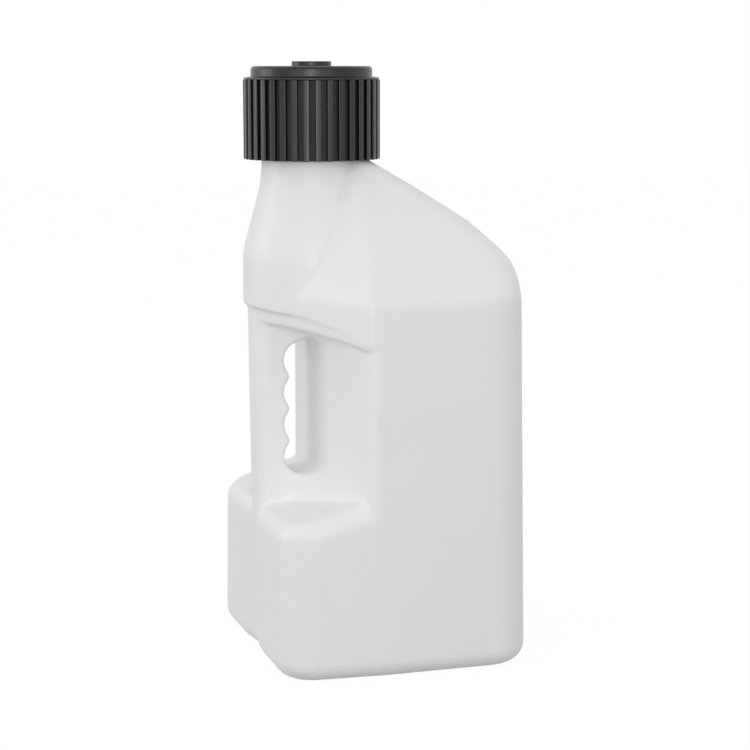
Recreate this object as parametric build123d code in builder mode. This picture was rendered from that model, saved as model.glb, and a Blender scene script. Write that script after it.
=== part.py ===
"""Utility jug: a blow-moulded body with a through handle, a ribbed screw cap and a flat gasket."""

import math
import os

from build123d import *

os.makedirs("parts", exist_ok=True)

# Body, overall: the floor is at z = 0, the handle is at the front (-Y)
body_width = 207.0
body_depth = 189.4
wall = 2.4
side_draft_degrees = 0.75
back_corner_radius = 32.0
overrun = 5.0

# Foot: the full-width block that the handle stands on, with a ledge that falls to the front
foot_setback = 1.2
foot_taper = 6.0
foot_corner_radius = 28.0
foot_fold_setback = 80.4
ledge_fold_setback = 70.2
foot_fold_radius = 12.0
foot_edge_radius = 14.0
push_up_rim = 22.0
push_up_depth = 4.0
notch_depth = 3.2
notch_half_width = 27.0
notch_radius = 5.0
notch_shoulder_radius = 40.0
ledge_height = 123.5
ledge_setback = 51.7
ledge_slope_degrees = 15.3
ledge_edge_radius = 13.0

# Waist: the back two thirds with the handle in front, both sides scooped out between them
waist_overlap = 43.5
handle_half_width = 15.5
handle_foot_setback = 5.6
handle_head_setback = 3.4
handle_edge_radius = 9.0
scoop_edge_setback = 65.3
scoop_slope_degrees = 15.8
scoop_radius = 30.0
scoop_edge_radius = 7.0

# Hand hole with its finger grips
hole_sill = 12.0
hole_rear_setback = 48.4
hole_head = 8.0
hole_head_radius = 5.0
sill_radius_share = 0.66
hole_rim_radius = 4.0
grip_crest_setback = 31.1
grip_depth = 5.6
grip_crest_radius = 4.0
finger_pitch = 23.7
finger_count = 4

# Brow: the band that hangs under the upper body and steps back above the handle
brow_rise = 16.0
brow_drop = 14.4
brow_setback = 6.2
brow_edge_radius = 4.0

# Upper body: upright walls to the hip, then planes that lean in to the neck
lintel = 28.2
arch_drop = 23.4
arch_edge_radius = 2.0
hip_rise = 9.5
crown_rise = 100.0
upper_fold_setback = 64.2
fold_radius = 8.0
facet_front_half_width = 12.0
facet_front_setback = 2.6
fold_behind_neck = 18.8
crown_facet_ahead_of_neck = 8.1
crown_radius = 29.0
crown_corner_radius = 12.0
crown_drop_share = 0.5
upper_height_shares = (0.0, 0.12, 0.24, 0.34, 0.52, 0.76, 1.0)
upper_back_shares = (0.0, 0.0, 0.03, 0.11, 0.29, 0.63, 1.0)
upper_fold_shares = (0.0, 0.27, 0.5, 0.75, 1.0, 1.0, 0.1)

# Neck and its finish under the cap
shoulder_radius = 50.8
cone_foot_rise = 29.0
cone_rise = 52.0
cone_foot_blend = 75.0
cone_top_blend = 80.0
neck_radius = 36.7
finish_radius = 39.2
finish_foot_rise = 20.0

# Screw cap
cap_foot_rise = 14.9
rib_length = 56.8
cap_outer_radius = 49.4
rib_depth = 2.8
rib_count = 36
rib_width_share = 0.55
cap_wall = 3.2
shoulder_edge_radius = 48.1
shoulder_edge_rise = 1.3
shoulder_rise = 2.0
disc_height = 6.2
disc_radius = 43.9
disc_edge_radius = 2.6
boss_radius = 14.3
boss_height = 3.4
boss_edge_radius = 0.8

# Gasket between the lip and the cap
gasket_thickness = 2.6
gasket_width = 5.6
gasket_clearance = 0.5

# Places along the depth, from the front
front_y = -body_depth / 2
back_y = body_depth / 2
foot_fold_y = front_y + foot_fold_setback
ledge_y = front_y + ledge_setback
ledge_fold_y = front_y + ledge_fold_setback
scoop_edge_y = front_y + scoop_edge_setback
hole_rear_y = front_y + hole_rear_setback
grip_crest_y = front_y + grip_crest_setback
upper_fold_y = front_y + upper_fold_setback
neck_y = front_y + shoulder_radius
fold_rear_y = neck_y + fold_behind_neck
crown_facet_y = neck_y - crown_facet_ahead_of_neck
neck_axis = Axis((0, neck_y, 0), (0, 0, 1))

# Heights, from the ledge to the lip
waist_foot_height = ledge_height - waist_overlap
hole_bottom_height = ledge_height + hole_sill
hole_top_height = hole_bottom_height + finger_count * finger_pitch
brow_height = hole_top_height + brow_rise
brow_foot_height = brow_height - brow_drop - overrun
arch_height = hole_top_height + lintel
upper_foot_height = arch_height - arch_drop - overrun
hip_height = arch_height + hip_rise
crown_height = hip_height + crown_rise
cone_foot_height = hip_height + cone_foot_rise
cone_top_height = cone_foot_height + cone_rise
finish_foot_height = cone_top_height + finish_foot_rise
cap_foot_height = cone_top_height + cap_foot_rise
rib_top_height = cap_foot_height + rib_length
shoulder_edge_height = rib_top_height + shoulder_edge_rise
disc_foot_height = shoulder_edge_height + shoulder_rise
disc_top_height = disc_foot_height + disc_height
seat_height = disc_top_height - cap_wall
lip_height = seat_height - gasket_thickness

# Radii inside the cap
rib_root_radius = cap_outer_radius - rib_depth
skirt_inner_radius = rib_root_radius - cap_wall
disc_inner_radius = disc_radius - cap_wall


def draft_at(height):
    """How far an upright wall has leaned in at a height."""
    return height * math.tan(math.radians(side_draft_degrees))


def blend(start, end, share):
    """The value a share of the way from start to end."""
    return start + (end - start) * share


def outline(half_corners, height, inset):
    """A plan outline at a height, mirrored in X and moved in by the inset.

    Each corner is x, y and its radius, from the back to the front.
    """
    corners = half_corners + [(-x, y, radius) for x, y, radius in reversed(half_corners) if x]
    with BuildSketch(Plane.XY.offset(height)) as section:
        with BuildLine():
            FilletPolyline(
                *[(x, y) for x, y, radius in corners],
                radius=[radius for x, y, radius in corners],
                close=True,
            )
        make_face()
        if inset:
            offset(amount=-inset)
    return section.sketch


def foot_section(height, inset):
    """Plan of the foot: square at the back, tapered in front of the fold, notched at the middle."""
    lean = draft_at(height)
    half_width = body_width / 2 - lean
    foot_y = front_y + foot_setback + lean
    half_corners = [
        (half_width, back_y - lean, back_corner_radius),
        (half_width, blend(foot_fold_y, ledge_fold_y, height / ledge_height), foot_fold_radius),
        (half_width - foot_taper, foot_y, foot_corner_radius),
        (notch_half_width, foot_y, notch_shoulder_radius),
        (0, foot_y + notch_depth, notch_radius),
    ]
    return outline(half_corners, height, inset)


def foot_form(inset):
    """The foot as a solid: a drafted block under the sloping ledge, with soft edges."""
    top_height = ledge_height + body_width
    floor = foot_section(inset, inset)
    top = foot_section(top_height, inset)
    push_up = foot_section(inset, push_up_rim - inset)
    slope = math.radians(ledge_slope_degrees)
    ledge = Plane((0, ledge_y, ledge_height - inset), z_dir=(0, -math.sin(slope), math.cos(slope)))
    with BuildPart() as foot:
        loft([floor, top], ruled=True)
        split(bisect_by=ledge, keep=Keep.BOTTOM)
        fillet(foot.faces().sort_by(Axis.Z)[0].edges(), foot_edge_radius - inset)
        fillet(foot.faces().sort_by(Axis.Z)[-1].edges(), ledge_edge_radius - inset)
        extrude(push_up, amount=push_up_depth, mode=Mode.SUBTRACT)
    return foot.part


def waist_section(height, inset):
    """Plan of the waist: the back block, the two scoops and the handle bar in one outline."""
    lean = draft_at(height)
    half_width = body_width / 2 - lean
    scoop_depth = (half_width - handle_half_width) * math.tan(math.radians(scoop_slope_degrees))
    rise_share = (height - waist_foot_height) / (hip_height - waist_foot_height)
    handle_y = front_y + blend(handle_foot_setback, handle_head_setback, rise_share)
    half_corners = [
        (half_width, back_y - lean, back_corner_radius),
        (half_width, scoop_edge_y, scoop_edge_radius),
        (handle_half_width, scoop_edge_y - scoop_depth, scoop_radius),
        (handle_half_width, handle_y, handle_edge_radius),
    ]
    return outline(half_corners, height, inset)


def hand_hole(inset):
    """Side view of the hand hole, with one round hollow for each finger along the grip."""
    finger_radius = ((finger_pitch / 2) ** 2 + grip_depth**2) / (2 * grip_depth)
    centre_y = grip_crest_y - grip_depth + finger_radius
    radius = finger_radius + inset
    ends = [hole_bottom_height + finger * finger_pitch for finger in range(finger_count + 1)]
    middles = [end + finger_pitch / 2 for end in ends[:-1]]
    ends[0] -= inset
    ends[-1] += inset

    def on_arc(height, middle):
        return (centre_y - math.sqrt(radius**2 - (height - middle) ** 2), height)

    with BuildSketch(Plane.YZ) as hole:
        with BuildLine():
            for low, middle, high in zip(ends, middles, ends[1:]):
                ThreePointArc(on_arc(low, middle), on_arc(middle, middle), on_arc(high, middle))
            Polyline(
                on_arc(ends[-1], middles[-1]), (hole_rear_y + inset, ends[-1] + hole_head),
                (hole_rear_y + inset, ends[0]), on_arc(ends[0], middles[0]),
            )
        make_face()
        crests = [crest for level in hole.vertices().group_by(Axis.Y)[1:-2] for crest in level]
        fillet(crests, grip_crest_radius - inset)
        sill_radius = (hole_rear_y - grip_crest_y) * sill_radius_share
        fillet(hole.vertices().group_by(Axis.Y)[0], sill_radius + inset)
        levels = hole.vertices().group_by(Axis.Y)
        fillet(levels[-2] + levels[-1], hole_head_radius + inset)
    return hole.sketch


def waist_form(inset):
    """The waist as a solid: the drafted plan with the hand hole through it."""
    low = waist_section(waist_foot_height, inset)
    high = waist_section(hip_height - inset, inset)
    hole = hand_hole(inset)
    with BuildPart() as waist:
        loft([low, high], ruled=True)
        extrude(hole, amount=body_width, both=True, mode=Mode.SUBTRACT)
        rim = waist.edges(Select.NEW).filter_by(Axis.X, reverse=True)
        fillet(rim, hole_rim_radius - inset)
    return waist.part


def upper_section(height, front_setback, inset, lean_share=0, back_share=0, fold_share=0):
    """Plan of the upper body: flat sides, and front facets that run in under the neck cone."""
    lean = draft_at(min(height, hip_height))
    half_width = blend(body_width / 2 - lean, crown_radius, lean_share)
    section_back_y = blend(back_y - lean, neck_y + crown_radius, back_share)
    fold_y = blend(upper_fold_y, fold_rear_y, fold_share)
    facet_y = blend(front_y + front_setback, crown_facet_y, lean_share)
    half_corners = [
        (half_width, section_back_y, blend(back_corner_radius, crown_corner_radius, lean_share)),
        (half_width, fold_y, fold_radius),
        (facet_front_half_width, facet_y, 0),
    ]
    return outline(half_corners, height, inset)


def neck_profile(inset, top_height):
    """Half section of the front cone, the neck and its finish, from the axis to the front."""
    with BuildSketch(Plane.YZ) as profile:
        with BuildLine():
            FilletPolyline(
                (neck_y, upper_foot_height),
                (neck_y - shoulder_radius + inset, upper_foot_height),
                (neck_y - shoulder_radius + inset, cone_foot_height),
                (neck_y - neck_radius + inset, cone_top_height),
                (neck_y - neck_radius + inset, finish_foot_height),
                (neck_y - finish_radius + inset, finish_foot_height + finish_radius - neck_radius),
                (neck_y - finish_radius + inset, top_height),
                (neck_y, top_height),
                radius=[0, 0, cone_foot_blend, cone_top_blend, 0, 0, 0, 0],
                close=True,
            )
        make_face()
    return profile.sketch


def under_arch(height, drop, inset):
    """What lies below an arched underside, seen from the front."""
    half_width = body_width / 2
    side_height = height - drop + inset
    with BuildSketch(Plane.XZ) as profile:
        with BuildLine():
            arch = ThreePointArc(
                (-half_width, side_height),
                (0, height + inset),
                (half_width, side_height),
            )
            Polyline(arch @ 0, (-half_width, 0), (half_width, 0), arch @ 1)
        make_face()
    return profile.sketch


def brow_form(inset):
    """The brow as a solid: the plan of the upper body with its front stepped back, over an arch."""
    low = upper_section(brow_foot_height, brow_setback, inset)
    high = upper_section(hip_height - inset, brow_setback, inset)
    below = under_arch(brow_height, brow_drop, inset)
    with BuildPart() as brow:
        loft([low, high], ruled=True)
        extrude(below, amount=body_depth, both=True, mode=Mode.SUBTRACT)
        underside = brow.faces().filter_by(GeomType.CYLINDER).sort_by(SortBy.AREA)[-1]
        fillet(underside.edges(), brow_edge_radius)
    return brow.part


def upper_form(inset):
    """The upper body as a solid, from its arched underside to the neck's lip."""
    drop = inset * crown_drop_share
    upper_foot = upper_section(upper_foot_height, facet_front_setback, inset)
    sections = [
        upper_section(blend(hip_height, crown_height, shares[0]) - drop, facet_front_setback, inset, *shares)
        for shares in zip(upper_height_shares, upper_back_shares, upper_fold_shares)
    ]
    neck = neck_profile(inset, lip_height + (overrun if inset else 0))
    below = under_arch(arch_height, arch_drop, inset)
    with BuildPart() as cone:
        revolve(neck, axis=neck_axis)
        extrude(below, amount=body_depth, both=True, mode=Mode.SUBTRACT)
        fillet(cone.faces().sort_by(Axis.Z)[0].edges(), arch_edge_radius)
    with BuildPart() as upper:
        loft([upper_foot] + sections, ruled=True)
        extrude(below, amount=body_depth, both=True, mode=Mode.SUBTRACT)
        underside = upper.faces().filter_by(GeomType.CYLINDER).sort_by(SortBy.AREA)[-1]
        fillet(underside.edges(), arch_edge_radius)
        add(cone.part)
    return upper.part


def jug_form(inset):
    """The jug as one solid form: its skin with no inset, its hollow with the wall as inset."""
    foot = foot_form(inset)
    waist = waist_form(inset)
    brow = brow_form(inset)
    upper = upper_form(inset)
    with BuildPart() as form:
        add(foot)
        add(waist)
        add(brow)
        add(upper)
    return form.part


skin = jug_form(0)
hollow = jug_form(wall)
with BuildPart() as jug_body:
    add(skin)
    add(hollow, mode=Mode.SUBTRACT)
jug_body.part.label = "jug_body"
export_step(jug_body.part, "parts/jug_body.step")

# The cap is one shell: ribbed skirt, shoulder, raised disc and boss
with BuildPart() as screw_cap:
    with BuildSketch(Plane.YZ):
        with BuildLine():
            FilletPolyline(
                (neck_y - skirt_inner_radius, cap_foot_height),
                (neck_y - rib_root_radius, cap_foot_height),
                (neck_y - rib_root_radius, rib_top_height),
                (neck_y - shoulder_edge_radius, rib_top_height),
                (neck_y - shoulder_edge_radius, shoulder_edge_height),
                (neck_y - disc_radius, disc_foot_height),
                (neck_y - disc_radius, disc_top_height),
                (neck_y - boss_radius, disc_top_height),
                (neck_y - boss_radius, disc_top_height + boss_height),
                (neck_y, disc_top_height + boss_height),
                (neck_y, seat_height),
                (neck_y - disc_inner_radius, seat_height),
                (neck_y - disc_inner_radius, rib_top_height - cap_wall),
                (neck_y - skirt_inner_radius, rib_top_height - cap_wall),
                radius=[0, 0, 0, 0, 0, 0, disc_edge_radius, 0, boss_edge_radius, 0, 0, 0, 0, 0],
                close=True,
            )
        make_face()
    revolve(axis=neck_axis)
    rib_width = 2 * math.pi * rib_root_radius / rib_count * rib_width_share
    with BuildSketch(Plane((0, neck_y, cap_foot_height))):
        with PolarLocations(rib_root_radius, rib_count):
            Rectangle(2 * rib_depth, rib_width)
    extrude(amount=rib_top_height - cap_foot_height)
screw_cap.part.label = "screw_cap"
export_step(screw_cap.part, "parts/screw_cap.step")

# The gasket lies flat in the disc, on the lip
with BuildPart() as cap_gasket:
    with BuildSketch(Plane((0, neck_y, lip_height))):
        gasket_radius = disc_inner_radius - gasket_clearance
        Circle(gasket_radius)
        Circle(gasket_radius - gasket_width, mode=Mode.SUBTRACT)
    extrude(amount=gasket_thickness)
cap_gasket.part.label = "cap_gasket"
export_step(cap_gasket.part, "parts/cap_gasket.step")
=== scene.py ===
"""Looks of a white utility jug with a black ribbed screw cap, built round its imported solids."""

import logging
import math
from collections.abc import Sequence
from dataclasses import dataclass
from enum import Enum
from functools import cached_property

import bmesh
import bpy
import numpy as np
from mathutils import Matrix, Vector


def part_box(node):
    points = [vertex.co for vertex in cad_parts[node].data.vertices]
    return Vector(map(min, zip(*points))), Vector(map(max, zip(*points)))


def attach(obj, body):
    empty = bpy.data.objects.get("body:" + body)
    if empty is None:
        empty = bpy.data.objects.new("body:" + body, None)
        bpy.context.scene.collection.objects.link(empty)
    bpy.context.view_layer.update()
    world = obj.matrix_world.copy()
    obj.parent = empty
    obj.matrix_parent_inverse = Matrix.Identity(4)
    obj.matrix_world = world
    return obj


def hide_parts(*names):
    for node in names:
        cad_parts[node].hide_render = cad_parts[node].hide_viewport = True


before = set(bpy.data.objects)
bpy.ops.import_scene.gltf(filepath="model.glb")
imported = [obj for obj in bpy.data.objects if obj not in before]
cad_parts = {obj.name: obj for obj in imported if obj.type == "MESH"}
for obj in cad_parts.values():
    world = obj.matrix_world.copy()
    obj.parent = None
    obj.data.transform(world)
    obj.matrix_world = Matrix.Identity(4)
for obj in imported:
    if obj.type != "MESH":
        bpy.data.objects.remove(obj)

LOG = logging.getLogger("jug")
MM = 0.001
NEAR = 0.001 * MM
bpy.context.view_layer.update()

Point = tuple[float, float]
Colour = tuple[float, float, float]
Place = tuple[float, float, float]

# Values that the finishes share
OPAQUE = 1.0
WHITE = (1.0, 1.0, 1.0, OPAQUE)
NOISE_MIDDLE = 0.5
FINE_DETAIL = 3.0
PLASTIC_IOR = 1.5

# The neck's finish and the thread that the neck and the cap share
FINISH_RADIUS = 39.2 * MM
THREAD_PITCH = 8.0 * MM
THREAD_TURNS = 2.5
THREAD_BELOW_LIP = 32.0 * MM
THREAD_HEIGHT = 2.7 * MM
THREAD_CREST = 1.4 * MM
NECK_RIDGE_WIDTH = 3.6 * MM
CAP_RIDGE_WIDTH = 3.2 * MM


class Body(Enum):
    """The bodies that a piece can ride on."""

    JUG = "jug"
    SEAL = "seal"
    CAP = "cap"


class Slot(Enum):
    """The record's material slots."""

    JUG_PLASTIC = "jug_plastic"
    CAP_PLASTIC = "cap_plastic"
    SEAL_RUBBER = "seal_rubber"


class Wire:
    """A node socket that takes part in sums, so that shader maths reads as an expression."""

    def __init__(self, graph: "Graph", socket: bpy.types.NodeSocket) -> None:
        """Keep the socket and the graph that it lies in."""
        self.graph = graph
        self.socket = socket

    def maths(self, operation: str, *others: "Wire | float", swapped: bool = False) -> "Wire":
        """Add a Math node.

        Args:
            operation: The Math node's operation.
            others: The other operands.
            swapped: True where this wire is the second operand.

        Returns:
            The result as a wire.
        """
        operands = [self, *others]
        if swapped:
            operands.reverse()
        node = self.graph.node("ShaderNodeMath", {"operation": operation}, dict(enumerate(operands)))
        return Wire(self.graph, node.outputs[0])

    def __add__(self, other: "Wire | float") -> "Wire":
        """This plus other."""
        return self.maths("ADD", other)

    def __radd__(self, other: float) -> "Wire":
        """A number plus this."""
        return self.maths("ADD", other, swapped=True)

    def __sub__(self, other: "Wire | float") -> "Wire":
        """This minus other."""
        return self.maths("SUBTRACT", other)

    def __rsub__(self, other: float) -> "Wire":
        """A number minus this."""
        return self.maths("SUBTRACT", other, swapped=True)

    def __mul__(self, other: "Wire | float") -> "Wire":
        """This times other."""
        return self.maths("MULTIPLY", other)

    def __rmul__(self, other: float) -> "Wire":
        """A number times this."""
        return self.maths("MULTIPLY", other, swapped=True)

    def __truediv__(self, other: "Wire | float") -> "Wire":
        """This divided by other."""
        return self.maths("DIVIDE", other)

    def __rtruediv__(self, other: float) -> "Wire":
        """A number divided by this."""
        return self.maths("DIVIDE", other, swapped=True)

    def __abs__(self) -> "Wire":
        """This without its sign."""
        return self.maths("ABSOLUTE")

    def limited(self) -> "Wire":
        """This held between 0 and 1."""
        return self.maths("MINIMUM", 1.0).maths("MAXIMUM", 0.0)


class Graph:
    """A node tree that is filled in by short calls."""

    def __init__(self, tree: bpy.types.NodeTree) -> None:
        """Start from an empty tree."""
        self.tree = tree
        tree.nodes.clear()

    def node(self, kind: str, settings: dict | None = None, inputs: dict | None = None) -> bpy.types.Node:
        """Add a node.

        Args:
            kind: The node's type.
            settings: Its properties, set before its sockets.
            inputs: Socket name or number to a wire or a plain value.

        Returns:
            The node.
        """
        node = self.tree.nodes.new(kind)
        for name, setting in (settings or {}).items():
            setattr(node, name, setting)
        for key, given in (inputs or {}).items():
            if isinstance(given, Wire):
                self.tree.links.new(given.socket, node.inputs[key])
            else:
                node.inputs[key].default_value = given
        return node

    def wire(self, kind: str, output: str | int, settings: dict | None = None,
             inputs: dict | None = None) -> Wire:
        """Add a node as node() does and return one of its outputs as a wire."""
        return Wire(self, self.node(kind, settings, inputs).outputs[output])


class MaterialGraph(Graph):
    """A material's nodes, with the parts that every finish here uses."""

    # The Mix node's sockets for colours, which share their names with those for numbers
    MIX_SHARE, MIX_LOW, MIX_HIGH = 0, 6, 7
    MIX_RESULT = 2

    def __init__(self, name: str) -> None:
        """Make the material and its empty tree.

        Args:
            name: The material's name.
        """
        self.material = bpy.data.materials.new(name)
        self.material.use_nodes = True
        super().__init__(self.material.node_tree)

    @cached_property
    def place(self) -> Wire:
        """The place on the piece, in Object coordinates."""
        return self.wire("ShaderNodeTexCoord", "Object")

    def along(self, axis: str) -> Wire:
        """The place along the X, Y or Z axis."""
        return self.wire("ShaderNodeSeparateXYZ", axis, None, {"Vector": self.place})

    def noise(self, scale: float, detail: float = 2.0) -> Wire:
        """A noise pattern of 0 to 1, with scale features to the metre."""
        return self.wire("ShaderNodeTexNoise", "Fac", {"noise_dimensions": "3D"},
                         {"Vector": self.place, "Scale": scale, "Detail": detail})

    def tint(self, share: Wire, low: Colour, high: Colour) -> Wire:
        """The colour that lies a share of the way from low to high."""
        ends = {self.MIX_LOW: (*low, OPAQUE), self.MIX_HIGH: (*high, OPAQUE)}
        return self.wire("ShaderNodeMix", self.MIX_RESULT, {"data_type": "RGBA"},
                         {self.MIX_SHARE: share, **ends})

    def bump(self, height: Wire, distance: float, strength: float) -> Wire:
        """A normal from a height of 0 to 1 that stands for a distance in metres."""
        return self.wire("ShaderNodeBump", "Normal", None,
                         {"Height": height, "Distance": distance, "Strength": strength})

    def plastic(self, colour: Wire, roughness: Wire, normal: Wire, constants: dict) -> bpy.types.Material:
        """Close the graph with a Principled shader.

        Args:
            colour: The base colour.
            roughness: The roughness.
            normal: The bumped normal.
            constants: Other sockets and their plain values.

        Returns:
            The finished material.
        """
        inputs = {"Base Color": colour, "Roughness": roughness, "Normal": normal, **constants}
        surface = self.wire("ShaderNodeBsdfPrincipled", "BSDF", None, inputs)
        self.node("ShaderNodeOutputMaterial", None, {"Surface": surface})
        return self.material


@dataclass(frozen=True)
class MilkyPlastic:
    """Blow-moulded natural plastic: satin, a little cloudy, with a fine peel and a parting line."""

    thick: Colour = (0.88, 0.88, 0.872)
    thin: Colour = (0.91, 0.91, 0.905)
    roughness: float = 0.40
    roughness_spread: float = 0.10
    cloud_scale: float = 9.0
    patch_scale: float = 70.0
    peel_scale: float = 900.0
    peel_depth: float = 0.05 * MM
    parting_depth: float = 0.25 * MM
    parting_half_width: float = 0.7 * MM
    bump_strength: float = 0.35
    depth_of_light: float = 5.0 * MM
    light_spread: Colour = (1.0, 1.0, 0.95)
    milkiness: float = 0.25

    def material(self) -> bpy.types.Material:
        """Make the material.

        Returns:
            The material.
        """
        graph = MaterialGraph("milky_plastic")
        cloud = graph.noise(self.cloud_scale)
        patch = graph.noise(self.patch_scale)
        peel = graph.noise(self.peel_scale, FINE_DETAIL)
        colour = graph.tint(cloud, self.thick, self.thin)
        roughness = self.roughness + (patch - NOISE_MIDDLE) * self.roughness_spread
        parting = (1 - abs(graph.along("X")) / self.parting_half_width).limited()
        relief = parting + peel * (self.peel_depth / self.parting_depth)
        normal = graph.bump(relief, self.parting_depth, self.bump_strength)
        constants = {
            "Subsurface Weight": self.milkiness,
            "Subsurface Scale": self.depth_of_light,
            "Subsurface Radius": self.light_spread,
            "IOR": PLASTIC_IOR,
        }
        return graph.plastic(colour, roughness, normal, constants)


@dataclass(frozen=True)
class BlackPlastic:
    """Moulded black plastic: satin, with a fine grain, duller in patches and below the rib tops."""

    rib_top: float
    dullness: float = 0.0
    dull_edge: float = 1.0 * MM
    deep: Colour = (0.003, 0.003, 0.004)
    worn: Colour = (0.006, 0.006, 0.007)
    roughness: float = 0.30
    roughness_spread: float = 0.12
    patch_scale: float = 120.0
    grain_scale: float = 2400.0
    grain_depth: float = 0.03 * MM
    grain_strength: float = 0.3

    def material(self) -> bpy.types.Material:
        """Make the material.

        Returns:
            The material.
        """
        graph = MaterialGraph("black_plastic")
        patch = graph.noise(self.patch_scale)
        grain = graph.noise(self.grain_scale, FINE_DETAIL)
        colour = graph.tint(patch, self.deep, self.worn)
        grooves = ((self.rib_top - graph.along("Z")) / self.dull_edge).limited()
        patches = (patch - NOISE_MIDDLE) * self.roughness_spread
        roughness = self.roughness + patches + grooves * self.dullness
        normal = graph.bump(grain, self.grain_depth, self.grain_strength)
        return graph.plastic(colour, roughness, normal, {"IOR": PLASTIC_IOR})


@dataclass(frozen=True)
class SealRubber:
    """Dark matte rubber with a fine speckle."""

    dark: Colour = (0.02, 0.02, 0.02)
    pale: Colour = (0.05, 0.05, 0.05)
    roughness: float = 0.75
    roughness_spread: float = 0.15
    speckle_scale: float = 1500.0
    speckle_depth: float = 0.04 * MM
    speckle_strength: float = 0.4

    def material(self) -> bpy.types.Material:
        """Make the material.

        Returns:
            The material.
        """
        graph = MaterialGraph("seal_rubber")
        speckle = graph.noise(self.speckle_scale, FINE_DETAIL)
        colour = graph.tint(speckle, self.dark, self.pale)
        roughness = self.roughness + (speckle - NOISE_MIDDLE) * self.roughness_spread
        normal = graph.bump(speckle, self.speckle_depth, self.speckle_strength)
        return graph.plastic(colour, roughness, normal, {})


def new_object(name: str, mesh: bpy.types.Mesh) -> bpy.types.Object:
    """Put a mesh in the scene as an object at the origin.

    Args:
        name: The object's name.
        mesh: Its mesh.

    Returns:
        The object.
    """
    piece = bpy.data.objects.new(name, mesh)
    bpy.context.scene.collection.objects.link(piece)
    return piece


def settle(piece: bpy.types.Object) -> None:
    """Turn a piece's modifiers into a plain mesh and remove them.

    Args:
        piece: The piece.
    """
    graph = bpy.context.evaluated_depsgraph_get()
    mesh = bpy.data.meshes.new_from_object(piece.evaluated_get(graph))
    mesh.name = piece.name
    piece.modifiers.clear()
    piece.data = mesh


def dress(piece: bpy.types.Object, material: bpy.types.Material, body: Body,
          replaced: str | None = None) -> None:
    """Give a finished piece its material and its place in the frame.

    Args:
        piece: The piece.
        material: Its finish.
        body: The body that it rides on.
        replaced: The node that it stands for, if any.
    """
    piece.data.materials.clear()
    piece.data.materials.append(material)
    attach(piece, body.value)
    if replaced:
        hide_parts(replaced)
    piece.data.calc_loop_triangles()
    LOG.info("%s rides %s, %d triangles", piece.name, body.value, len(piece.data.loop_triangles))


def rounded(corners: Sequence[tuple[float, float, float]], steps: int = 5) -> list[Point]:
    """A closed outline with its corners rounded.

    Args:
        corners: Each corner's two coordinates and radius.
        steps: Points along each rounded corner.

    Returns:
        The outline's points.
    """
    points: list[Point] = []
    for index, (x, y, radius) in enumerate(corners):
        corner = Vector((x, y))
        if not radius:
            points.append((x, y))
            continue
        before = (Vector(corners[index - 1][:2]) - corner).normalized()
        after = (Vector(corners[(index + 1) % len(corners)][:2]) - corner).normalized()
        half = before.angle(after) / 2
        centre = corner + (before + after).normalized() * radius / math.sin(half)
        first = corner + before * radius / math.tan(half) - centre
        last = corner + after * radius / math.tan(half) - centre
        for step in range(steps + 1):
            arm = first.slerp(last, step / steps)
            points.append(tuple(centre + arm.normalized() * radius))
    return points


def revolved(name: str, outline: Sequence[Point], axis_y: float, steps: int) -> bpy.types.Object:
    """A ring or a disc made by turning an outline about the upright axis at axis_y.

    Args:
        name: The piece's name.
        outline: Closed outline of radius and height points.
        axis_y: Where the axis stands.
        steps: Segments round the axis.

    Returns:
        The piece, with its doubles merged and its faces pointing outwards.
    """
    shape = bmesh.new()
    rings = []
    for step in range(steps):
        angle = math.tau * step / steps
        turn = (math.cos(angle), math.sin(angle))
        rings.append([shape.verts.new((r * turn[0], axis_y + r * turn[1], z)) for r, z in outline])
    count = len(outline)
    for ring, following in zip(rings, rings[1:] + rings[:1]):
        for index in range(count):
            after = (index + 1) % count
            shape.faces.new((ring[index], following[index], following[after], ring[after]))
    bmesh.ops.remove_doubles(shape, verts=shape.verts, dist=NEAR)
    bmesh.ops.dissolve_degenerate(shape, edges=shape.edges, dist=NEAR)
    bmesh.ops.recalc_face_normals(shape, faces=shape.faces)
    mesh = bpy.data.meshes.new(name)
    shape.to_mesh(mesh)
    shape.free()
    shade(mesh)
    return new_object(name, mesh)


def shade(mesh: bpy.types.Mesh, sharp_degrees: float = 35.0) -> None:
    """Shade a mesh smooth, apart from edges sharper than an angle."""
    mesh.shade_smooth()
    mesh.set_sharp_from_angle(angle=math.radians(sharp_degrees))


def rows(items: bpy.types.bpy_prop_collection, name: str, width: int, kind: type = float) -> np.ndarray:
    """Read one property of all of a mesh's points or edges.

    Args:
        items: The points or edges.
        name: The property.
        width: How many numbers it has.
        kind: The kind of number.

    Returns:
        One row for each point or edge.
    """
    numbers = np.empty(len(items) * width, kind)
    items.foreach_get(name, numbers)
    return numbers.reshape(-1, width)


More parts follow.
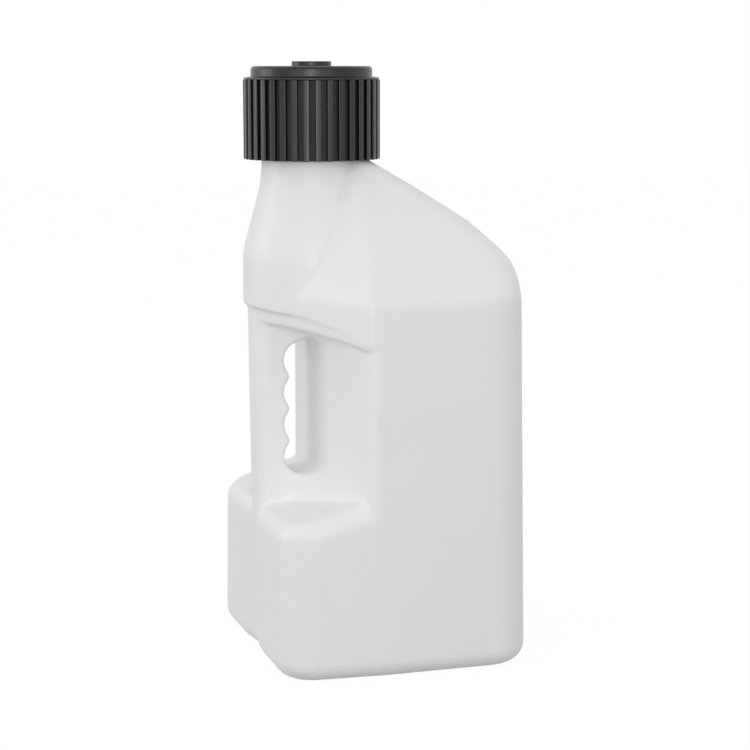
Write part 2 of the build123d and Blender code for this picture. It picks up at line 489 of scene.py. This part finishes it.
class ShapeGraph(Graph):
    """A Geometry Nodes tree with named inputs for its sizes."""

    SOCKETS = {float: "NodeSocketFloat", int: "NodeSocketInt"}

    def __init__(self, name: str, sizes: dict[str, float | int]) -> None:
        """Make the tree.

        Args:
            name: The tree's name.
            sizes: Its named inputs and their values.
        """
        super().__init__(bpy.data.node_groups.new(name, "GeometryNodeTree"))
        face = self.tree.interface
        face.new_socket("Geometry", in_out="INPUT", socket_type="NodeSocketGeometry")
        self.values = {}
        for label, size in sizes.items():
            socket = face.new_socket(label, in_out="INPUT", socket_type=self.SOCKETS[type(size)])
            self.values[socket.identifier] = size
        self.material_input = face.new_socket("Material", in_out="INPUT", socket_type="NodeSocketMaterial")
        face.new_socket("Geometry", in_out="OUTPUT", socket_type="NodeSocketGeometry")
        self.entry = self.node("NodeGroupInput")

    def size(self, label: str) -> Wire:
        """A named input as a wire."""
        return Wire(self, self.entry.outputs[label])

    def vector(self, x: Wire | float, y: Wire | float, z: Wire | float) -> Wire:
        """A vector from three values."""
        return self.wire("ShaderNodeCombineXYZ", 0, None, {"X": x, "Y": y, "Z": z})

    def made(self, name: str, shape: Wire, material: bpy.types.Material) -> bpy.types.Object:
        """Close the tree, run it and keep the result as a plain mesh.

        Args:
            name: The piece's name.
            shape: The tree's last geometry.
            material: The piece's finish.

        Returns:
            The piece.
        """
        whole = self.wire("GeometryNodeRealizeInstances", 0, None, {"Geometry": shape})
        finished = self.wire("GeometryNodeSetMaterial", 0, None,
                             {"Geometry": whole, "Material": self.size("Material")})
        self.node("NodeGroupOutput", None, {0: finished})
        piece = new_object(name, bpy.data.meshes.new(name))
        modifier = piece.modifiers.new("shape", "NODES")
        modifier.node_group = self.tree
        for identifier, size in self.values.items():
            modifier[identifier] = size
        modifier[self.material_input.identifier] = material
        settle(piece)
        shade(piece.data)
        return piece


@dataclass
class Thread:
    """A screw thread: a ridge that climbs round the upright axis and runs out at both ends."""

    axis_y: float
    foot: float
    pitch: float
    turns: float
    radius: float
    height: float
    width: float
    crest: float
    root_share: float = 0.4
    run_out_share: float = 0.06
    steps_per_turn: int = 96

    def piece(self, name: str, material: bpy.types.Material) -> bpy.types.Object:
        """Build the ridge; a negative height makes it point inwards.

        Args:
            name: The piece's name.
            material: Its finish.

        Returns:
            The piece.
        """
        graph = ShapeGraph(name, {
            "Axis Y": self.axis_y, "Foot": self.foot, "Pitch": self.pitch, "Turns": self.turns,
            "Radius": self.radius, "Height": self.height, "Width": self.width, "Crest": self.crest,
            "Root": self.root_share, "Run Out": self.run_out_share, "Steps": self.steps_per_turn,
        })
        turns = graph.size("Turns")
        steps = graph.size("Steps") * turns + 1
        line = graph.wire("GeometryNodeMeshLine", 0, None, {"Count": steps})
        share = graph.wire("GeometryNodeInputIndex", 0) / (steps - 1)
        angle = share * turns * math.tau
        radius = graph.size("Radius")
        place = graph.vector(
            radius * angle.maths("COSINE"),
            radius * angle.maths("SINE") + graph.size("Axis Y"),
            graph.size("Foot") + share * turns * graph.size("Pitch"),
        )
        helix = graph.wire("GeometryNodeSetPosition", 0, None, {"Geometry": line, "Position": place})
        curve = graph.wire("GeometryNodeMeshToCurve", 0, None, {"Mesh": helix})
        upright = graph.wire("GeometryNodeSetCurveNormal", 0, {"mode": "Z_UP"}, {"Curve": curve})
        ends = share.maths("MINIMUM", 1 - share) / graph.size("Run Out")
        height = graph.size("Height")
        root = height * graph.size("Root") * -1
        half, crest = graph.size("Width") / 2, graph.size("Crest") / 2
        section = graph.wire("GeometryNodeCurvePrimitiveQuadrilateral", 0, {"mode": "POINTS"}, {
            "Point 1": graph.vector(root, half * -1, 0.0),
            "Point 2": graph.vector(height, crest * -1, 0.0),
            "Point 3": graph.vector(height, crest, 0.0),
            "Point 4": graph.vector(root, half, 0.0),
        })
        ridge = graph.wire("GeometryNodeCurveToMesh", 0, None, {
            "Curve": upright, "Profile Curve": section, "Scale": ends.limited(), "Fill Caps": True,
        })
        return graph.made(name, ridge, material)


@dataclass
class ScrewCap:
    """The cap: a turned shell with a raised disc and boss, ribs round the skirt and a thread inside."""

    axis_y: float
    foot: float
    top: float
    outer_radius: float
    rib_length: float = 56.8 * MM
    rib_depth: float = 2.8 * MM
    rib_width: float = 4.47 * MM
    rib_edge: float = 0.55 * MM
    rib_count: int = 36
    rib_edge_steps: int = 4
    wall: float = 3.2 * MM
    collar_radius: float = 48.9 * MM
    collar_rise: float = 1.3 * MM
    shoulder_rise: float = 0.9 * MM
    disc_radius: float = 43.9 * MM
    disc_edge: float = 2.6 * MM
    boss_radius: float = 14.3 * MM
    boss_height: float = 3.4 * MM
    soft_edge: float = 0.5 * MM
    groove_dullness: float = 0.35
    steps: int = 180

    @property
    def rib_root(self) -> float:
        """The radius that the ribs stand on."""
        return self.outer_radius - self.rib_depth

    @property
    def rib_top(self) -> float:
        """The height at which the ribs end."""
        return self.foot + self.rib_length

    @property
    def skirt_radius(self) -> float:
        """The skirt's inner radius."""
        return self.rib_root - self.wall

    def shell(self) -> bpy.types.Object:
        """Turn the shell from one closed outline.

        Returns:
            The shell.
        """
        rib_top = self.rib_top
        disc_foot = rib_top + self.collar_rise + self.shoulder_rise
        disc_top = self.top - self.boss_height
        seat = disc_top - self.wall
        bore = self.disc_radius - self.wall
        edge = self.soft_edge
        outline = rounded([
            (self.skirt_radius, self.foot, edge),
            (self.rib_root, self.foot, edge),
            (self.rib_root, rib_top - edge, 0),
            (self.collar_radius, rib_top, edge),
            (self.collar_radius, rib_top + self.collar_rise, edge),
            (self.disc_radius, disc_foot, edge),
            (self.disc_radius, disc_top, self.disc_edge),
            (self.boss_radius, disc_top, edge),
            (self.boss_radius, self.top, edge),
            (0, self.top, 0),
            (0, seat, 0),
            (bore, seat, edge),
            (bore, rib_top - self.wall, edge),
            (self.skirt_radius, rib_top - self.wall, edge),
        ])
        return revolved("cap_shell", outline, self.axis_y, self.steps)

    def ribs(self, material: bpy.types.Material) -> bpy.types.Object:
        """Make the grip ribs, each a bar with rounded edges and bevelled ends.

        Args:
            material: Their finish.

        Returns:
            All the ribs as one piece.
        """
        graph = ShapeGraph("cap_ribs", {
            "Count": self.rib_count, "Root Radius": self.rib_root, "Depth": self.rib_depth,
            "Width": self.rib_width, "Edge": self.rib_edge, "Foot": self.foot, "Length": self.rib_length,
            "Axis Y": self.axis_y, "Edge Steps": self.rib_edge_steps,
        })
        edge, depth, length = graph.size("Edge"), graph.size("Depth"), graph.size("Length")
        stations = 4
        station = graph.wire("GeometryNodeInputIndex", 0)
        rise = (
            edge * station.limited()
            + (length - edge * 2) * (station - 1).limited()
            + edge * (station - 2).limited()
        )
        line = graph.wire("GeometryNodeMeshLine", 0, None, {"Count": stations})
        column = graph.wire("GeometryNodeSetPosition", 0, None,
                            {"Geometry": line, "Position": graph.vector(0.0, 0.0, rise)})
        path = graph.wire("GeometryNodeMeshToCurve", 0, None, {"Mesh": column})
        outward = graph.wire("GeometryNodeSetCurveNormal", 0, {"mode": "FREE"},
                             {"Curve": path, "Normal": (1.0, 0.0, 0.0)})
        block = graph.wire("GeometryNodeCurvePrimitiveQuadrilateral", 0, {"mode": "RECTANGLE"},
                           {"Width": depth * 2, "Height": graph.size("Width")})
        section = graph.wire("GeometryNodeFilletCurve", 0, {"mode": "POLY"},
                             {"Curve": block, "Count": graph.size("Edge Steps"), "Radius": edge})
        inner_station = (station * (stations - 1 - station)).limited()
        bevel = 1 - edge / depth * (1 - inner_station)
        bar = graph.wire("GeometryNodeCurveToMesh", 0, None, {
            "Curve": outward, "Profile Curve": section, "Scale": bevel, "Fill Caps": True,
        })
        count = graph.size("Count")
        angle = graph.wire("GeometryNodeInputIndex", 0) / count * math.tau
        root = graph.size("Root Radius")
        place = graph.vector(
            root * angle.maths("COSINE"),
            root * angle.maths("SINE") + graph.size("Axis Y"),
            graph.size("Foot"),
        )
        ring = graph.wire("GeometryNodePoints", 0, None, {"Count": count, "Position": place})
        turn = graph.wire("FunctionNodeEulerToRotation", 0, None, {"Euler": graph.vector(0.0, 0.0, angle)})
        bars = graph.wire("GeometryNodeInstanceOnPoints", 0, None,
                          {"Points": ring, "Instance": bar, "Rotation": turn})
        return graph.made("cap_ribs", bars, material)

    def build(self, thread: Thread) -> None:
        """Make the cap's pieces and dress them, with the grooves duller than the handled ribs.

        Args:
            thread: The thread inside the skirt.
        """
        dull = BlackPlastic(self.rib_top, self.groove_dullness).material()
        handled = BlackPlastic(self.rib_top).material()
        dress(self.shell(), dull, Body.CAP, "screw_cap")
        dress(self.ribs(handled), handled, Body.CAP)
        dress(thread.piece("cap_thread", dull), dull, Body.CAP)


@dataclass
class SealRing:
    """The flat ring that lies between the lip and the cap."""

    axis_y: float
    foot: float
    top: float
    outer_radius: float
    width: float = 5.6 * MM
    edge: float = 0.5 * MM
    steps: int = 120

    def build(self, finish: SealRubber) -> None:
        """Make the ring and dress it.

        Args:
            finish: The ring's rubber.
        """
        outline = rounded([
            (self.outer_radius - self.width, self.foot, self.edge),
            (self.outer_radius, self.foot, self.edge),
            (self.outer_radius, self.top, self.edge),
            (self.outer_radius - self.width, self.top, self.edge),
        ])
        ring = revolved("seal_ring", outline, self.axis_y, self.steps)
        dress(ring, finish.material(), Body.SEAL, "cap_gasket")


@dataclass
class BlownBody:
    """The blown body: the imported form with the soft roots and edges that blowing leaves."""

    lip: float
    overrun: float = 6.0 * MM
    skin_voxel: float = 1.2 * MM
    hollow_voxel: float = 3.0 * MM
    root_depth: float = 0.11 * MM
    root_reach: int = 8
    root_fade: float = 0.9
    root_rounds: int = 40
    ledge_front: Point = (-88.7 * MM, 111.0 * MM)
    ledge_rear: float = -24.0 * MM
    ledge_slope_degrees: float = 15.3
    dish_slope_degrees: float = 4.5
    dish_inner: float = 15.5 * MM
    dish_outer: float = 84.5 * MM
    dish_below: float = 6.0 * MM
    dish_above: float = 1.0 * MM
    dish_fade: float = 12.0 * MM
    crisp_low: float = 226.0 * MM
    crisp_high: float = 262.0 * MM
    fold_low: float = 262.0 * MM
    fold_high: float = 355.0 * MM
    fold_depth: float = 0.04 * MM
    fold_reach: int = 10
    fold_fade: float = 0.92
    fold_rounds: int = 60
    edge_rounds: int = 6
    smooth_factor: float = 0.5
    sharp_degrees: float = 60.0
    merge_distance: float = 0.01 * MM
    skin_share: float = 0.28
    hollow_share: float = 0.25

    def shells(self) -> tuple[bpy.types.Object, bpy.types.Object]:
        """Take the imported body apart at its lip.

        Returns:
            The outer skin and the hollow, each a closed surface.
        """
        near = self.merge_distance
        shape = bmesh.new()
        shape.from_mesh(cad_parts["jug_body"].data)
        bmesh.ops.remove_doubles(shape, verts=shape.verts, dist=near)
        lip = [face for face in shape.faces if all(v.co.z > self.lip - near for v in face.verts)]
        bmesh.ops.delete(shape, geom=lip, context="FACES")
        start = min(shape.verts, key=lambda vert: vert.co.z)
        outer, edge_of_search = {start}, [start]
        while edge_of_search:
            vert = edge_of_search.pop()
            for edge in vert.link_edges:
                other = edge.other_vert(vert)
                if other not in outer:
                    outer.add(other)
                    edge_of_search.append(other)
        inner = [vert for vert in shape.verts if vert not in outer]
        skin, hollow = shape.copy(), shape
        skin.verts.ensure_lookup_table()
        bmesh.ops.delete(skin, geom=[skin.verts[vert.index] for vert in inner], context="VERTS")
        bmesh.ops.delete(hollow, geom=list(outer), context="VERTS")
        rim = [edge for edge in hollow.edges if edge.is_boundary]
        raised = bmesh.ops.extrude_edge_only(hollow, edges=rim)["geom"]
        tops = [item for item in raised if isinstance(item, bmesh.types.BMVert)]
        bmesh.ops.translate(hollow, verts=tops, vec=(0, 0, self.overrun))
        pieces = []
        for name, form in (("jug_skin", skin), ("jug_hollow", hollow)):
            bmesh.ops.holes_fill(form, edges=form.edges)
            bmesh.ops.recalc_face_normals(form, faces=form.faces)
            mesh = bpy.data.meshes.new(name)
            form.to_mesh(mesh)
            form.free()
            pieces.append(new_object(name, mesh))
        return pieces[0], pieces[1]

    @staticmethod
    def remesh(piece: bpy.types.Object, voxel: float) -> None:
        """Cover a closed surface with even faces.

        Args:
            piece: The closed surface.
            voxel: The size of the faces.
        """
        modifier = piece.modifiers.new("even", "REMESH")
        modifier.mode = "VOXEL"
        modifier.voxel_size = voxel
        settle(piece)

    def dish(self, mesh: bpy.types.Mesh) -> None:
        """Sink the ledge towards the handle, and draw the walls above it down with it.

        Args:
            mesh: The even skin or hollow.
        """
        places = rows(mesh.vertices, "co", 3)
        x, y, z = places.T
        front_y, front_z = self.ledge_front
        slope = math.tan(math.radians(self.ledge_slope_degrees))
        fall = slope - math.tan(math.radians(self.dish_slope_degrees))
        ledge = front_z + (y - front_y) * slope
        inner_share = (self.dish_outer - np.abs(x)) / (self.dish_outer - self.dish_inner)
        depth = np.clip(y - front_y, 0, None) * fall * np.clip(inner_share, 0, 1)
        depth[(y > self.ledge_rear) | (z < ledge - self.dish_below)] = 0
        fade = 1 - np.clip((z - ledge - self.dish_above) / self.dish_fade, 0, 1)
        places[:, 2] = z - depth * fade
        mesh.vertices.foreach_set("co", places.ravel())
        mesh.update()

    @staticmethod
    def spread(marks: np.ndarray, both_ways: Sequence[tuple[np.ndarray, np.ndarray]], reach: int,
               fade: float) -> np.ndarray:
        """Let marks fade out from point to point along the edges.

        Args:
            marks: True for each point that is marked.
            both_ways: The points at the edges' ends, from end to end and back.
            reach: How many edges the fading goes on for.
            fade: What is left of a weight after each edge.

        Returns:
            One weight for each point, 1 where it is marked.
        """
        weights = marks.astype(float)
        for _ in range(reach):
            wider = weights.copy()
            for here, there in both_ways:
                np.maximum.at(wider, here, weights[there] * fade)
            weights = wider
        return weights

    def corner_weights(self, mesh: bpy.types.Mesh) -> dict[str, np.ndarray]:
        """How near each point lies to a sharp corner, from 0 to 1, fading out round it.

        Args:
            mesh: The even skin.

        Returns:
            One weight for each point in the inner corners ("roots"), 0 along the brow, whose step
            stays crisp, and one in the outer corners of the upper body ("folds").
        """
        places = rows(mesh.vertices, "co", 3)
        normals = rows(mesh.vertices, "normal", 3)
        first, second = rows(mesh.edges, "vertices", 2, int).T
        both_ways = ((first, second), (second, first))
        total = np.zeros_like(places)
        count = np.zeros(len(places))
        for here, there in both_ways:
            np.add.at(total, here, places[there])
            np.add.at(count, here, 1)
        rise = np.einsum("ij,ij->i", total / count[:, None] - places, normals)
        height = places[:, 2]
        upper = (height > self.fold_low) & (height < self.fold_high)
        brow = (height > self.crisp_low) & (height < self.crisp_high)
        roots = self.spread(rise > self.root_depth, both_ways, self.root_reach, self.root_fade)
        folds = self.spread((rise < -self.fold_depth) & upper, both_ways, self.fold_reach, self.fold_fade)
        roots[brow] = 0.0
        folds[~upper] = 0.0
        return {"roots": roots, "folds": folds}

    def soften(self, skin: bpy.types.Object) -> None:
        """Round the inner corners and the upper folds widely, and all edges a little.

        Args:
            skin: The even skin.
        """
        rounds = {"roots": self.root_rounds, "folds": self.fold_rounds}
        for name, weights in self.corner_weights(skin.data).items():
            group = skin.vertex_groups.new(name=name)
            for index in np.flatnonzero(weights).tolist():
                group.add([index], float(weights[index]), "REPLACE")
            corners = skin.modifiers.new(name, "SMOOTH")
            corners.factor = self.smooth_factor
            corners.iterations = rounds[name]
            corners.vertex_group = group.name
        edges = skin.modifiers.new("edges", "SMOOTH")
        edges.factor = self.smooth_factor
        edges.iterations = self.edge_rounds
        settle(skin)
        skin.vertex_groups.clear()

    @staticmethod
    def thin_out(piece: bpy.types.Object, share: float) -> None:
        """Merge faces where the surface is flat, down to a share of them.

        Args:
            piece: The piece.
            share: The share of its faces that is left.
        """
        modifier = piece.modifiers.new("fewer", "DECIMATE")
        modifier.ratio = share
        settle(piece)

    def build(self, finish: MilkyPlastic, thread: Thread) -> None:
        """Make the body's pieces and dress them.

        Args:
            finish: The body's plastic.
            thread: The thread round the neck.
        """
        skin, hollow = self.shells()
        self.remesh(skin, self.skin_voxel)
        self.dish(skin.data)
        self.soften(skin)
        self.thin_out(skin, self.skin_share)
        self.remesh(hollow, self.hollow_voxel)
        self.dish(hollow.data)
        self.thin_out(hollow, self.hollow_share)
        cut = skin.modifiers.new("hollow", "BOOLEAN")
        cut.operation = "DIFFERENCE"
        cut.solver = "MANIFOLD"
        cut.object = hollow
        settle(skin)
        bpy.data.objects.remove(hollow)
        shade(skin.data, self.sharp_degrees)
        material = finish.material()
        dress(skin, material, Body.JUG, "jug_body")
        dress(thread.piece("neck_thread", material), material, Body.JUG)


@dataclass
class PhotoCamera:
    """The camera at the photograph's view."""

    place: Place = (1.3871, -0.4332, 0.4344)
    heading: tuple[float, float] = (-0.9537, 0.3007)
    tilt_degrees: float = -9.06
    focal_pixels: float = 1975.0
    frame_pixels: float = 750.0
    sensor_mm: float = 36.0

    def build(self) -> None:
        """Make the camera and let the scene look through it."""
        lens = bpy.data.cameras.new("photo_camera")
        lens.sensor_width = self.sensor_mm
        lens.lens = self.focal_pixels / self.frame_pixels * self.sensor_mm
        camera = bpy.data.objects.new("photo_camera", lens)
        sight = Vector((*self.heading, math.tan(math.radians(self.tilt_degrees))))
        camera.rotation_euler = sight.to_track_quat("-Z", "Y").to_euler()
        camera.location = self.place
        bpy.context.scene.collection.objects.link(camera)
        bpy.context.scene.camera = camera


@dataclass
class SoftBox:
    """One soft studio lamp, aimed at the object."""

    name: str
    place: Place
    size: tuple[float, float]
    watts: float
    aim: Place = (0.0, 0.0, 0.22)

    def build(self) -> None:
        """Hang the lamp."""
        lamp = bpy.data.lights.new(self.name, "AREA")
        lamp.shape = "RECTANGLE"
        lamp.size, lamp.size_y = self.size
        lamp.energy = self.watts
        holder = bpy.data.objects.new(self.name, lamp)
        holder.location = self.place
        sight = Vector(self.aim) - Vector(self.place)
        holder.rotation_euler = sight.to_track_quat("-Z", "Y").to_euler()
        bpy.context.scene.collection.objects.link(holder)


@dataclass
class Studio:
    """A pale floor, white surroundings and soft lamps."""

    floor_half: float = 6.0
    floor_colour: Colour = (0.42, 0.42, 0.42)
    floor_white: float = 1.075
    floor_white_share: float = 0.9
    backdrop: float = 1.0
    surround: float = 0.68
    lamps: tuple[SoftBox, ...] = (
        SoftBox("front", (2.1, -0.64, 0.55), (3.6, 0.9), 8.0),
        SoftBox("strip", (2.1, -0.64, 0.62), (0.3, 1.2), 7.5),
        SoftBox("left", (-0.65, -1.8, 0.7), (1.0, 1.0), 6.2),
    )

    @staticmethod
    def seen(graph: Graph) -> Wire:
        """Mark the rays that see the surroundings: from the camera, through glass or off a gloss.

        Args:
            graph: The floor's or the world's nodes.

        Returns:
            1 for such a ray and 0 for any other.
        """
        path = graph.node("ShaderNodeLightPath")
        kinds = ("Is Camera Ray", "Is Transmission Ray", "Is Glossy Ray")
        camera, through, glossy = (Wire(graph, path.outputs[kind]) for kind in kinds)
        return (camera + through + glossy).limited()

    def floor(self) -> None:
        """Lay the floor, which keeps the object's shadow."""
        shape = bmesh.new()
        bmesh.ops.create_grid(shape, x_segments=1, y_segments=1, size=self.floor_half)
        mesh = bpy.data.meshes.new("floor")
        shape.to_mesh(mesh)
        shape.free()
        floor = new_object("floor", mesh)
        graph = MaterialGraph("floor_paper")
        paper = graph.wire("ShaderNodeBsdfDiffuse", 0, None, {"Color": (*self.floor_colour, OPAQUE)})
        white = graph.wire("ShaderNodeEmission", 0, None, {"Color": WHITE, "Strength": self.floor_white})
        share = self.seen(graph) * self.floor_white_share
        whole = graph.wire("ShaderNodeMixShader", 0, None, {0: share, 1: paper, 2: white})
        graph.node("ShaderNodeOutputMaterial", None, {"Surface": whole})
        mesh.materials.append(graph.material)

    def surroundings(self) -> None:
        """Light the scene evenly, with white behind the object."""
        world = bpy.data.worlds.new("studio")
        world.use_nodes = True
        bpy.context.scene.world = world
        graph = Graph(world.node_tree)
        light, backdrop = (
            graph.wire("ShaderNodeBackground", 0, None, {"Color": WHITE, "Strength": strength})
            for strength in (self.surround, self.backdrop)
        )
        whole = graph.wire("ShaderNodeMixShader", 0, None, {0: self.seen(graph), 1: light, 2: backdrop})
        graph.node("ShaderNodeOutputWorld", None, {"Surface": whole})

    def build(self) -> None:
        """Set up the whole studio."""
        self.floor()
        self.surroundings()
        for lamp in self.lamps:
            lamp.build()
        bpy.context.scene.view_settings.view_transform = "Standard"


def main() -> None:
    """Build the studio and the jug, sub-assembly by sub-assembly."""
    logging.basicConfig(level=logging.INFO, format="%(name)s: %(message)s")
    cap_low, cap_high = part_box("screw_cap")
    seal_low, seal_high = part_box("cap_gasket")
    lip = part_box("jug_body")[1].z
    axis_y = (cap_low.y + cap_high.y) / 2
    cap = ScrewCap(axis_y, cap_low.z, cap_high.z, (cap_high.x - cap_low.x) / 2)
    neck_thread = Thread(
        axis_y, lip - THREAD_BELOW_LIP, THREAD_PITCH, THREAD_TURNS,
        radius=FINISH_RADIUS, height=THREAD_HEIGHT, width=NECK_RIDGE_WIDTH, crest=THREAD_CREST,
    )
    cap_thread = Thread(
        axis_y, lip - THREAD_BELOW_LIP - THREAD_PITCH / 2, THREAD_PITCH, THREAD_TURNS,
        radius=cap.skirt_radius, height=-THREAD_HEIGHT, width=CAP_RIDGE_WIDTH, crest=THREAD_CREST,
    )
    BlownBody(lip).build(MilkyPlastic(), neck_thread)
    SealRing(axis_y, seal_low.z, seal_high.z, (seal_high.x - seal_low.x) / 2).build(SealRubber())
    cap.build(cap_thread)
    Studio().build()
    PhotoCamera().build()


if __name__ == "__main__":
    main()
